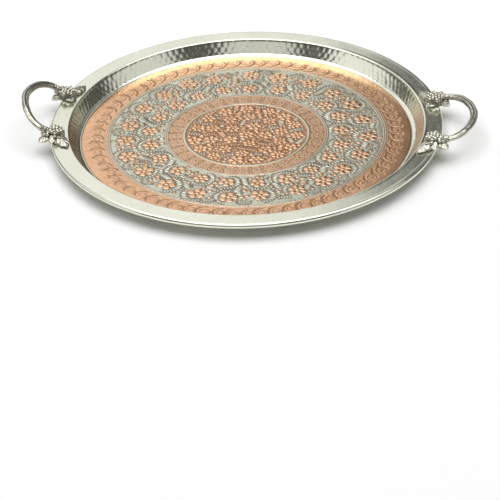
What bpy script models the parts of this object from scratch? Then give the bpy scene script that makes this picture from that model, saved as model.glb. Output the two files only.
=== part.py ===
"""Round copper serving tray with two cast vine handles.

Metres, +Z up. The floor's underside rests on the table at Z 0, the handles lie along X,
and the origin is below the middle of the whole tray. The left handle is bent up further
than the right one, and both sit a little behind the pan's centre. The pan is one spun
sheet: a flat floor, a sloping wall, a flat flange, and an edge that curls down round a
steel wire. Each handle is a cast bow, and a pin at either end of it plugs into a cast
grape-and-leaf mount that one screw from below holds to the flange.
"""

import math

import bmesh
import bpy
from mathutils import Matrix, Vector

GAP = 0.0003

# Pan
SHEET = 0.0011
RIM_RADIUS = 0.180
FLOOR_RADIUS = 0.152
FLANGE_INNER_RADIUS = 0.164
WALL_ANGLE = math.radians(58.5)
FOOT_BEND_RADIUS = 0.005
TOP_BEND_RADIUS = 0.0016
FOOT_BEND_STEPS = 3
TOP_BEND_STEPS = 2
CURL_TURN = math.radians(265)
CURL_STEPS = 8
WIRE_RADIUS = 0.001
WIRE_SIDES = 8
TURNING_STEPS = 80
SHARP_ANGLE = math.radians(35)

CURL_RADIUS = WIRE_RADIUS + GAP + SHEET / 2
FLANGE_OUTER_RADIUS = RIM_RADIUS - CURL_RADIUS - SHEET / 2
BENDS_WIDTH = (FOOT_BEND_RADIUS + TOP_BEND_RADIUS) * math.sin(WALL_ANGLE)
BENDS_HEIGHT = (FOOT_BEND_RADIUS + TOP_BEND_RADIUS) * (1 - math.cos(WALL_ANGLE))
WALL_LENGTH = (FLANGE_INNER_RADIUS - FLOOR_RADIUS - BENDS_WIDTH) / math.cos(WALL_ANGLE)
FLANGE_TOP = SHEET + BENDS_HEIGHT + WALL_LENGTH * math.sin(WALL_ANGLE)
FLANGE_UNDERSIDE = FLANGE_TOP - SHEET

# Screws and washers
SCREW_RADIUS = 0.0015
SCREW_HEAD_RADIUS = 0.0027
SCREW_HEAD_HEIGHT = 0.0017
SCREW_REACH = 0.0042
SLOT_WIDTH = 0.0008
SLOT_DEPTH = 0.0007
SCREW_EASE = 0.6
SLOT_OVERRUN = 1.2
WASHER_RADIUS = 0.0030
WASHER_THICKNESS = 0.0005
HOLE_RADIUS = SCREW_RADIUS + GAP
FASTENER_SIDES = 16

# Handles
HANDLE_OFFSET = 0.003
MOUNT_ANGLE = math.radians(12.5)
SCREW_CIRCLE_RADIUS = 0.171
MOUNT_CENTRE_RADIUS = 0.178
MOUNT_BASE = FLANGE_TOP + GAP
HINGE_HEIGHT = FLANGE_TOP + 0.0038
RIGHT_TILT = math.radians(8.5)
LEFT_TILT = math.radians(31.5)
BOW_START = 0.0120
BOW_REACH = 0.0344
BOW_HALF_WIDTH = 0.0038
BOW_HALF_THICKNESS = 0.0029
BOW_SQUARENESS = 1.81
BOW_STATIONS = 27
BOW_SIDES = 10
CURVE_SAMPLES = 600
BOW_KNOTS = (0.17, 0.43, 0.72)
KNOT_SWELL = 0.10
KNOT_SPREAD = 0.022
PIN_RADIUS = 0.0014
PIN_LENGTH = 0.0045
COLLAR_LENGTH = 0.0105
COLLAR_SIDES = 12
COLLAR_SWELLS = ((-1.0, 1.06), (-0.3, 1.12), (0.0, 0.94))

SCREW_SPOT = (SCREW_CIRCLE_RADIUS * math.cos(MOUNT_ANGLE), SCREW_CIRCLE_RADIUS * math.sin(MOUNT_ANGLE))
MOUNT_SPOT = (MOUNT_CENTRE_RADIUS * math.cos(MOUNT_ANGLE), MOUNT_CENTRE_RADIUS * math.sin(MOUNT_ANGLE))

# Grape-and-leaf mounts, with each leaf's stem and tip given from the mount's own spot
BUNCH_SPOT = (MOUNT_SPOT[0] - 0.0015, MOUNT_SPOT[1] - 0.0020)
GRAPE_HEIGHT = 0.0048
GRAPE_RADIUS = 0.0023
GRAPE_PITCH = 0.0039
GRAPE_ROW_PITCH = 0.0036
GRAPE_ROWS = (3, 4, 4, 3)
GRAPE_TURN = math.radians(137.5)
GRAPE_TURN_AXIS = (0.5, 0.2, 0.8)
BUNCH_CROWN = 0.0024
BUNCH_REACH = 0.0078
BOSS_RADIUS = 0.0042
BOSS_HEIGHT = 0.0062
CORE_RADIUS = 0.0080
CORE_HEIGHT = 0.0066
POST_EASE = 0.3
LEAF_STATIONS = 5
LEAF_EDGE = 0.0014
LEAF_END_SHARE = 0.10
LEAF_SWELL_START = 0.18
LEAF_SWELL_SPAN = 0.80
LEAF_RIDGE_FALL = 0.8
LEAF_STAGGER = 0.0002
LEAVES = (
    {"stem": (0.002, -0.001), "tip": (-0.0165, 0.0190), "half_width": 0.0058, "ridge": 0.0052},
    {"stem": (-0.001, -0.002), "tip": (0.0125, 0.0125), "half_width": 0.0062, "ridge": 0.0052},
    {"stem": (0.001, 0.001), "tip": (0.0115, -0.0105), "half_width": 0.0054, "ridge": 0.0050},
    {"stem": (0.002, 0.002), "tip": (-0.0085, -0.0140), "half_width": 0.0058, "ridge": 0.0050},
)


def clear_scene():
    for obj in list(bpy.data.objects):
        bpy.data.objects.remove(obj, do_unlink=True)


def metal(name, colour, roughness):
    material = bpy.data.materials.new(name)
    material.use_nodes = True
    shader = material.node_tree.nodes["Principled BSDF"]
    shader.inputs["Base Color"].default_value = (*colour, 1.0)
    shader.inputs["Roughness"].default_value = roughness
    shader.inputs["Metallic"].default_value = 1.0
    material.diffuse_color = (*colour, 1.0)
    return material


def add_solid(name, points, faces, material):
    """One closed mesh with its faces pointing out, shaded smooth apart from its sharp edges."""
    mesh = bpy.data.meshes.new(name)
    mesh.from_pydata(points, [], faces)
    shape = bmesh.new()
    shape.from_mesh(mesh)
    bmesh.ops.recalc_face_normals(shape, faces=shape.faces)
    shape.to_mesh(mesh)
    shape.free()
    mesh.materials.append(material)
    mesh.shade_smooth()
    mesh.set_sharp_from_angle(angle=SHARP_ANGLE)
    obj = bpy.data.objects.new(name, mesh)
    bpy.context.collection.objects.link(obj)
    return obj


def add_turned(name, outline, steps, material):
    """A closed outline of (radius, height) points turned round the Z axis."""
    points = []
    rings = []
    for radius, height in outline:
        count = 1 if radius == 0 else steps
        ring = []
        for step in range(count):
            angle = math.tau * step / steps
            ring.append(len(points))
            points.append((radius * math.cos(angle), radius * math.sin(angle), height))
        rings.append(ring)
    faces = []
    for ring, following in zip(rings, rings[1:] + rings[:1]):
        for step in range(steps):
            near, far = step, step + 1
            corners = [ring[near % len(ring)], ring[far % len(ring)]]
            corners += [following[far % len(following)], following[near % len(following)]]
            distinct = list(dict.fromkeys(corners))
            if len(distinct) > 2:
                faces.append(distinct)
    return add_solid(name, points, faces, material)


def add_loft(name, rings, material):
    """Equal rings of points joined one after another, with a flat cap at each end."""
    sides = len(rings[0])
    points = [point for ring in rings for point in ring]
    faces = [list(range(sides)), list(range(len(points) - sides, len(points)))]
    for row in range(len(rings) - 1):
        for side in range(sides):
            start = row * sides
            following = (side + 1) % sides
            faces.append([start + side, start + following, start + sides + following, start + sides + side])
    return add_solid(name, points, faces, material)


def add_grape(name, centre, turn, material):
    mesh = bpy.data.meshes.new(name)
    shape = bmesh.new()
    place = Matrix.Translation(centre) @ Matrix.Rotation(turn, 4, Vector(GRAPE_TURN_AXIS))
    bmesh.ops.create_icosphere(shape, subdivisions=2, radius=GRAPE_RADIUS, matrix=place)
    shape.to_mesh(mesh)
    shape.free()
    mesh.materials.append(material)
    obj = bpy.data.objects.new(name, mesh)
    bpy.context.collection.objects.link(obj)
    return obj


def combine(target, tool, operation):
    """Join a tool to a target, or cut it away, and drop the tool."""
    modifier = target.modifiers.new(operation.lower(), "BOOLEAN")
    modifier.operation = operation
    modifier.object = tool
    graph = bpy.context.evaluated_depsgraph_get()
    mesh = bpy.data.meshes.new_from_object(target.evaluated_get(graph))
    target.modifiers.clear()
    target.data = mesh
    bpy.data.objects.remove(tool, do_unlink=True)


def straight(path, length):
    radius, height, heading = path[-1]
    path.append((radius + length * math.cos(heading), height + length * math.sin(heading), heading))


def bend(path, bend_radius, turn, steps):
    """Round a corner: a positive turn climbs, a negative one dips."""
    radius, height, heading = path[-1]
    side = math.copysign(bend_radius, turn)
    centre_radius = radius - side * math.sin(heading)
    centre_height = height + side * math.cos(heading)
    for step in range(1, steps + 1):
        angle = heading + turn * step / steps
        path.append((centre_radius + side * math.sin(angle), centre_height - side * math.cos(angle), angle))


def sheet_outline(path, thickness):
    """Both faces of a sheet whose middle follows the path."""
    half = thickness / 2
    upper = []
    lower = []
    for radius, height, heading in path:
        upper.append((radius - half * math.sin(heading), height + half * math.cos(heading)))
        lower.append((radius + half * math.sin(heading), height - half * math.cos(heading)))
    return upper + lower[::-1]


def fastener_spots():
    """The four screw centres, with the name of each corner."""
    x, y = SCREW_SPOT
    for side, sign_x in (("left", -1), ("right", 1)):
        for end, sign_y in (("front", -1), ("rear", 1)):
            yield f"{side}_{end}", (sign_x * x, sign_y * y + HANDLE_OFFSET)


def make_pan(material):
    path = [(0.0, SHEET / 2, 0.0)]
    straight(path, FLOOR_RADIUS)
    bend(path, FOOT_BEND_RADIUS, WALL_ANGLE, FOOT_BEND_STEPS)
    straight(path, WALL_LENGTH)
    bend(path, TOP_BEND_RADIUS, -WALL_ANGLE, TOP_BEND_STEPS)
    straight(path, FLANGE_OUTER_RADIUS - FLANGE_INNER_RADIUS)
    bend(path, CURL_RADIUS, -CURL_TURN, CURL_STEPS)
    pan = add_turned("tray_pan", sheet_outline(path, SHEET), TURNING_STEPS, material)
    low = FLANGE_UNDERSIDE - SHEET
    high = FLANGE_TOP + SHEET
    for corner, (x, y) in fastener_spots():
        outline = [(0, low), (HOLE_RADIUS, low), (HOLE_RADIUS, high), (0, high)]
        drill = add_turned(f"{corner}_drill", outline, FASTENER_SIDES, material)
        drill.location = (x, y, 0)
        combine(pan, drill, "DIFFERENCE")


def make_rim_wire(material):
    centre_height = FLANGE_TOP - SHEET / 2 - CURL_RADIUS
    outline = []
    for side in range(WIRE_SIDES):
        angle = math.tau * side / WIRE_SIDES
        radius = FLANGE_OUTER_RADIUS + WIRE_RADIUS * math.cos(angle)
        outline.append((radius, centre_height + WIRE_RADIUS * math.sin(angle)))
    add_turned("rim_wire", outline, TURNING_STEPS, material)


def make_fasteners(material):
    """Washers lie under the flange, and each screw passes up through one into its mount."""
    washer_top = FLANGE_UNDERSIDE - GAP
    washer_bottom = washer_top - WASHER_THICKNESS
    head_top = washer_bottom - GAP
    head_bottom = head_top - SCREW_HEAD_HEIGHT
    washer = [
        (HOLE_RADIUS, washer_bottom),
        (WASHER_RADIUS, washer_bottom),
        (WASHER_RADIUS, washer_top),
        (HOLE_RADIUS, washer_top),
    ]
    screw = [
        (0, head_bottom),
        (SCREW_EASE * SCREW_HEAD_RADIUS, head_bottom),
        (SCREW_HEAD_RADIUS, head_bottom + 0.5 * SCREW_HEAD_HEIGHT),
        (SCREW_HEAD_RADIUS, head_top),
        (SCREW_RADIUS, head_top),
        (SCREW_RADIUS, FLANGE_TOP + SCREW_REACH - (1 - SCREW_EASE) * SCREW_RADIUS),
        (SCREW_EASE * SCREW_RADIUS, FLANGE_TOP + SCREW_REACH),
        (0, FLANGE_TOP + SCREW_REACH),
    ]
    for corner, (x, y) in fastener_spots():
        ring = add_turned(f"{corner}_washer", washer, FASTENER_SIDES, material)
        ring.location = (x, y, 0)
        body = add_turned(f"{corner}_screw", screw, FASTENER_SIDES, material)
        cutter = make_slot_cutter(head_bottom, material)
        combine(body, cutter, "DIFFERENCE")
        body.location = (x, y, 0)


def make_slot_cutter(head_bottom, material):
    """A bar across the screw's head, deep enough for a flat blade."""
    rings = []
    for x in (-SLOT_OVERRUN * SCREW_HEAD_RADIUS, SLOT_OVERRUN * SCREW_HEAD_RADIUS):
        ring = []
        for y, z in ((-1, -1), (1, -1), (1, 1), (-1, 1)):
            ring.append((x, y * SLOT_WIDTH / 2, head_bottom + z * SLOT_DEPTH))
        rings.append(ring)
    return add_loft("slot_cutter", rings, material)


def bow_point(angle):
    """A rounded D in the bow's own plane, whose X runs out from the line between the mounts."""
    power = 2 / BOW_SQUARENESS
    x = BOW_START + (BOW_REACH - BOW_START) * math.cos(angle) ** power
    y = math.copysign(MOUNT_SPOT[1] * abs(math.sin(angle)) ** power, angle)
    return Vector((x, y, 0))


def bow_plane(tilt):
    """From a bow's own plane to the right-hand side of the pan, bent up by the tilt."""
    return Matrix.Translation((MOUNT_SPOT[0], 0, HINGE_HEIGHT)) @ Matrix.Rotation(-tilt, 4, "Y")


def handle_place(turn):
    """From the right-hand side of a centred pan to a handle's own side and offset."""
    return Matrix.Translation((0, HANDLE_OFFSET, 0)) @ Matrix.Rotation(turn, 4, "Z")


def even_points(curve, low, high, count):
    """Points at equal distances along a curve, from fine samples of it."""
    dense = [curve(low + (high - low) * step / CURVE_SAMPLES) for step in range(CURVE_SAMPLES + 1)]
    travelled = [0.0]
    for here, there in zip(dense, dense[1:]):
        travelled.append(travelled[-1] + (there - here).length)
    points = []
    index = 0
    for number in range(count):
        goal = travelled[-1] * number / (count - 1)
        while index < CURVE_SAMPLES - 1 and travelled[index + 1] < goal:
            index += 1
        share = (goal - travelled[index]) / (travelled[index + 1] - travelled[index])
        points.append(dense[index].lerp(dense[index + 1], share))
    return points


def oval(centre, tangent, half_width, half_thickness, sides):
    """A ring of points round a level path."""
    across = Vector((tangent.y, -tangent.x, 0)).normalized()
    ring = []
    for side in range(sides):
        angle = math.tau * side / sides
        offset = across * (half_width * math.cos(angle))
        offset.z = half_thickness * math.sin(angle)
        ring.append(centre + offset)
    return ring


def make_bow(name, material, tilt, turn):
    """The vine rod with its knots, and a pin at each end for the mounts' sockets."""
    quarter = math.pi / 2
    centres = even_points(bow_point, -quarter, quarter, BOW_STATIONS)
    outward = Vector((1, 0, 0))
    rings = []
    for back in (PIN_LENGTH, 0.0):
        rings.append(oval(centres[0] - back * outward, outward, PIN_RADIUS, PIN_RADIUS, BOW_SIDES))
    for station, centre in enumerate(centres):
        before = centres[max(station - 1, 0)]
        after = centres[min(station + 1, BOW_STATIONS - 1)]
        tangent = after - before
        if station == 0:
            tangent = outward
        if station == BOW_STATIONS - 1:
            tangent = -outward
        share = station / (BOW_STATIONS - 1)
        swell = 1.0
        for knot in BOW_KNOTS:
            swell += KNOT_SWELL * math.exp(-(((share - knot) / KNOT_SPREAD) ** 2))
        rings.append(oval(centre, tangent, BOW_HALF_WIDTH * swell, BOW_HALF_THICKNESS * swell, BOW_SIDES))
    for back in (0.0, PIN_LENGTH):
        rings.append(oval(centres[-1] - back * outward, -outward, PIN_RADIUS, PIN_RADIUS, BOW_SIDES))
    bow = add_loft(name, rings, material)
    bow.data.transform(handle_place(turn) @ bow_plane(tilt))


def leaf_rings(base, stem, tip, half_width, ridge):
    """A pointed leaf that lies flat from its stem to its tip, thickest along its midrib."""
    along = Vector(tip) - Vector(stem)
    across = Vector((-along.y, along.x)).normalized()
    rings = []
    for station in range(LEAF_STATIONS):
        share = station / (LEAF_STATIONS - 1)
        swell = math.sin(math.pi * (LEAF_SWELL_START + LEAF_SWELL_SPAN * share))
        width = half_width * (LEAF_END_SHARE + (1 - LEAF_END_SHARE) * swell)
        middle = Vector(MOUNT_SPOT) + Vector(stem) + along * share
        crown = LEAF_EDGE + (ridge - LEAF_EDGE) * (1 - share) ** LEAF_RIDGE_FALL
        ring = []
        for side, height in ((-1, 0), (1, 0), (1, LEAF_EDGE), (0, crown), (-1, LEAF_EDGE)):
            spot = middle + across * (width * side)
            ring.append((spot.x, spot.y, base + height))
        rings.append(ring)
    return rings


def add_post(name, spot, radius, low, high, material):
    """An upright round bar, with its top edge eased."""
    ease = POST_EASE * radius
    outline = [(0, low), (radius, low), (radius, high - ease), (radius - ease, high), (0, high)]
    post = add_turned(name, outline, FASTENER_SIDES, material)
    post.data.transform(Matrix.Translation((*spot, 0)))
    return post


def make_collar(material, tilt):
    """The swollen vine end that takes the bow's pin in a socket."""
    outward = Vector((1, 0, 0))
    end = Vector((BOW_START - GAP, MOUNT_SPOT[1], 0))
    rings = []
    for reach, swell in COLLAR_SWELLS:
        centre = end + reach * COLLAR_LENGTH * outward
        rings.append(oval(centre, outward, BOW_HALF_WIDTH * swell, BOW_HALF_THICKNESS * swell, COLLAR_SIDES))
    collar = add_loft("collar", rings, material)
    rings = []
    for reach in (-PIN_LENGTH - GAP, 2 * GAP):
        rings.append(oval(end + reach * outward, outward, PIN_RADIUS + GAP, PIN_RADIUS + GAP, BOW_SIDES))
    combine(collar, add_loft("socket_drill", rings, material), "DIFFERENCE")
    collar.data.transform(bow_plane(tilt))
    return collar


def make_mount_master(material, tilt):
    """A right-hand rear mount: leaves, a bunch of grapes, a collar for the bow and a boss for the screw."""
    core_base = MOUNT_BASE + LEAF_STAGGER / 2
    core = add_post("core", BUNCH_SPOT, CORE_RADIUS, core_base, FLANGE_TOP + CORE_HEIGHT, material)
    boss = add_post("boss", SCREW_SPOT, BOSS_RADIUS, MOUNT_BASE, FLANGE_TOP + BOSS_HEIGHT, material)
    combine(core, boss, "UNION")
    for number, leaf in enumerate(LEAVES):
        rings = leaf_rings(MOUNT_BASE + (number + 1) * LEAF_STAGGER, **leaf)
        combine(core, add_loft(f"leaf_{number}", rings, material), "UNION")
    combine(core, make_collar(material, tilt), "UNION")
    for row, count in enumerate(GRAPE_ROWS):
        for place in range(count):
            across = (place - (count - 1) / 2) * GRAPE_PITCH
            along = (row - (len(GRAPE_ROWS) - 1) / 2) * GRAPE_ROW_PITCH
            crown = BUNCH_CROWN * math.cos(along / BUNCH_REACH) * math.cos(across / BUNCH_REACH)
            height = FLANGE_TOP + GRAPE_HEIGHT + crown
            centre = Vector((BUNCH_SPOT[0] + along, BUNCH_SPOT[1] + across, height))
            turn = GRAPE_TURN * (row + place * len(GRAPE_ROWS))
            combine(core, add_grape("grape", centre, turn, material), "UNION")
    hole = [(0, FLANGE_TOP - SHEET), (HOLE_RADIUS, FLANGE_TOP - SHEET)]
    hole += [(HOLE_RADIUS, FLANGE_TOP + SCREW_REACH + GAP), (0, FLANGE_TOP + SCREW_REACH + GAP)]
    drill = add_turned("screw_drill", hole, FASTENER_SIDES, material)
    drill.location = (*SCREW_SPOT, 0)
    combine(core, drill, "DIFFERENCE")
    return core


def make_mounts(side, material, tilt, turn):
    """A handle's rear mount as modelled or mirrored, and its mirror image in front of it."""
    master = make_mount_master(material, tilt)
    mirror = Matrix.Scale(-1, 4, Vector((0, 1, 0)))
    as_modelled, mirrored = ("rear", "front") if turn == 0 else ("front", "rear")
    for end, matrix in ((as_modelled, Matrix.Identity(4)), (mirrored, mirror)):
        mesh = master.data.copy()
        mesh.transform(handle_place(turn) @ matrix)
        if matrix.determinant() < 0:
            mesh.flip_normals()
        mesh.set_sharp_from_angle(angle=SHARP_ANGLE)
        obj = bpy.data.objects.new(f"{side}_{end}_mount", mesh)
        bpy.context.collection.objects.link(obj)
    bpy.data.objects.remove(master, do_unlink=True)


def centre_on_box():
    """Moves everything along X so that the whole tray is centred over the origin."""
    bpy.context.view_layer.update()
    reach = [(obj.matrix_world @ Vector(corner)).x for obj in bpy.data.objects for corner in obj.bound_box]
    for obj in bpy.data.objects:
        obj.location.x -= (min(reach) + max(reach)) / 2


def main():
    clear_scene()
    copper = metal("copper", (0.78, 0.47, 0.34), 0.32)
    silver = metal("cast_silver", (0.78, 0.77, 0.71), 0.30)
    steel = metal("steel", (0.56, 0.57, 0.58), 0.35)
    make_pan(copper)
    make_rim_wire(steel)
    for side, tilt, turn in (("right", RIGHT_TILT, 0.0), ("left", LEFT_TILT, math.pi)):
        make_bow(f"{side}_handle_bow", silver, tilt, turn)
        make_mounts(side, silver, tilt, turn)
    make_fasteners(steel)
    centre_on_box()


main()
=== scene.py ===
"""The looks of the round copper tray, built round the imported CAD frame.

Lengths are in metres in the frame's own axes, and in millimetres where a name says so.
The pan is one spun sheet drawn in two sections, which meet at the foot of the wall:
the chased floor, and the hammered wall with its flange and rolled edge.
"""

import math

import bmesh
import bpy
import numpy as np
from mathutils import Matrix, Vector


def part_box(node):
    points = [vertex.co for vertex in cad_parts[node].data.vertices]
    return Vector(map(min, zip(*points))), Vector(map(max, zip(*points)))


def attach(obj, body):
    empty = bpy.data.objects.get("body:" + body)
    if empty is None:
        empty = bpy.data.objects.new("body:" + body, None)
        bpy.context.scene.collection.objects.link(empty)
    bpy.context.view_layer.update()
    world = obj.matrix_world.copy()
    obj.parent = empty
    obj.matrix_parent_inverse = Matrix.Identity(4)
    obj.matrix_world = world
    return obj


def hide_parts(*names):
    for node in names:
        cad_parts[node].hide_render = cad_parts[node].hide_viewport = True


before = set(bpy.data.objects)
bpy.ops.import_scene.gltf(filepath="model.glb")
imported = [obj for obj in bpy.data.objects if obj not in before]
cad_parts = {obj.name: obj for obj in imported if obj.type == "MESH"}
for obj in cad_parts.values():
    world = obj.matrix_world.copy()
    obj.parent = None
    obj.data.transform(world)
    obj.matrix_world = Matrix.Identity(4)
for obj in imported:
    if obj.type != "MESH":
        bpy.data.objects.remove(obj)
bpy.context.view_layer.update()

MM = 0.001
TAU = math.tau

# Pan, as the CAD model has it
pan_low, pan_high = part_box("tray_pan")
PAN_X = (pan_low.x + pan_high.x) / 2 / MM
RIM_RADIUS = (pan_high.x - pan_low.x) / 2 / MM
FLANGE_TOP = pan_high.z / MM
SHEET = 1.1
FLOOR_RADIUS = 152.0
FLANGE_INNER_RADIUS = 164.0
WALL_ANGLE = math.radians(58.5)
FOOT_BEND_RADIUS = 5.0
TOP_BEND_RADIUS = 1.6
CURL_TURN = math.radians(265)
CURL_RADIUS = 1.85
FLANGE_OUTER_RADIUS = RIM_RADIUS - CURL_RADIUS - SHEET / 2
BENDS_WIDTH = (FOOT_BEND_RADIUS + TOP_BEND_RADIUS) * math.sin(WALL_ANGLE)
WALL_LENGTH = (FLANGE_INNER_RADIUS - FLOOR_RADIUS - BENDS_WIDTH) / math.cos(WALL_ANGLE)

# Handles, as the CAD model has them
HANDLE_OFFSET = 3.0
MOUNT_ANGLE = math.radians(12.5)
MOUNT_CIRCLE = 178.0
SCREW_CIRCLE = 171.0
MOUNT_X = MOUNT_CIRCLE * math.cos(MOUNT_ANGLE)
MOUNT_Y = MOUNT_CIRCLE * math.sin(MOUNT_ANGLE)
SCREW_X = SCREW_CIRCLE * math.cos(MOUNT_ANGLE)
SCREW_Y = SCREW_CIRCLE * math.sin(MOUNT_ANGLE)
HINGE_HEIGHT = FLANGE_TOP + 3.8
RIGHT_TILT = math.radians(8.5)
LEFT_TILT = math.radians(31.5)
BOW_START = 12.0
BOW_REACH = 34.4
BOW_SQUARENESS = 1.81
BOW_HALF_WIDTH = 3.8
BOW_HALF_THICKNESS = 2.9
PIN_RADIUS = 1.4
PIN_LENGTH = 4.5
PIN_NECK = 0.4
GAP = 0.3
SCREW_HOLE_RADIUS = 1.8
SCREW_HOLE_DEPTH = 4.5


# --- meshes


def make_mesh(name, points, faces):
    """A mesh from an array of points in millimetres and arrays of triangles and quads."""
    mesh = bpy.data.meshes.new(name)
    points = np.asarray(points, dtype=np.float32) * MM
    mesh.vertices.add(len(points))
    mesh.vertices.foreach_set("co", points.ravel())
    faces = [np.asarray(group, dtype=np.int32) for group in faces if len(group)]
    corners = np.concatenate([group.ravel() for group in faces])
    sizes = np.concatenate([np.full(len(group), group.shape[1], np.int32) for group in faces])
    starts = np.concatenate([[0], np.cumsum(sizes)[:-1]]).astype(np.int32)
    mesh.loops.add(len(corners))
    mesh.loops.foreach_set("vertex_index", corners)
    mesh.polygons.add(len(sizes))
    mesh.polygons.foreach_set("loop_start", starts)
    mesh.update(calc_edges=True)
    mesh.validate()
    mesh.shade_smooth()
    return mesh


def show(name, mesh):
    obj = bpy.data.objects.new(name, mesh)
    bpy.context.scene.collection.objects.link(obj)
    return obj


def add_value(mesh, name, values):
    """One number per vertex, which the materials read."""
    layer = mesh.attributes.new(name, "FLOAT", "POINT")
    layer.data.foreach_set("value", np.asarray(values, dtype=np.float32).ravel())


class Rings:
    """Rings of points about the Z axis, each joined to the one before it."""

    def __init__(self):
        self.points = []
        self.values = []
        self.triangles = []
        self.quads = []
        self.count = 0
        self.first = None
        self.last = None

    def add(self, x, y, z, *values):
        size = np.size(x)
        ring = np.arange(self.count, self.count + size)
        self.points.append(np.stack([np.broadcast_to(a, (size,)) for a in (x, y, z)], axis=1))
        self.values.append(np.stack([np.broadcast_to(a, (size,)) for a in values], axis=1))
        self.count += size
        if self.last is None:
            self.first = ring
        else:
            self.join(self.last, ring)
        self.last = ring

    def join(self, before, after):
        """Equal rings get quads, a ring of twice or half as many points gets triangles."""
        if len(before) == len(after):
            sides = [after, np.roll(after, -1), np.roll(before, -1), before]
            self.quads.append(np.stack(sides, axis=1))
            return
        flip = len(before) > len(after)
        few, many = (after, before) if flip else (before, after)
        if len(few) == 1:
            fans = [(many, np.roll(many, -1), np.full(len(many), few[0]))]
        else:
            even, odd = many[0::2], many[1::2]
            few_next = np.roll(few, -1)
            fans = [(even, odd, few), (odd, few_next, few), (odd, np.roll(even, -1), few_next)]
        for corners in fans:
            self.triangles.append(np.stack(corners[::-1] if flip else corners, axis=1))

    def close(self):
        self.join(self.last, self.first)

    def mesh(self, name, value_names):
        faces = [np.concatenate(group) for group in (self.triangles, self.quads) if group]
        mesh = make_mesh(name, np.concatenate(self.points), faces)
        values = np.concatenate(self.values)
        for column, value_name in enumerate(value_names):
            add_value(mesh, value_name, values[:, column])
        return mesh


def smooth_step(value, low, high):
    share = np.clip((value - low) / (high - low), 0.0, 1.0)
    return share * share * (3 - 2 * share)


# --- chasing on the floor

RASTER_PITCH = 0.25
MEDALLION_RADIUS = 55.4
FLORAL_BAND = (75.6, 125.2)
PALE_RINGS = ((56.0, 58.6), (72.2, 73.5), (74.0, 75.3), (125.6, 126.9), (127.4, 128.8))
EDGE = 0.35
OUTLINE = 0.50
RECESS = -0.26
WHOLE_GRID = (slice(None), slice(None))


def polar(radius, angle):
    return radius * math.cos(angle), radius * math.sin(angle)


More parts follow.
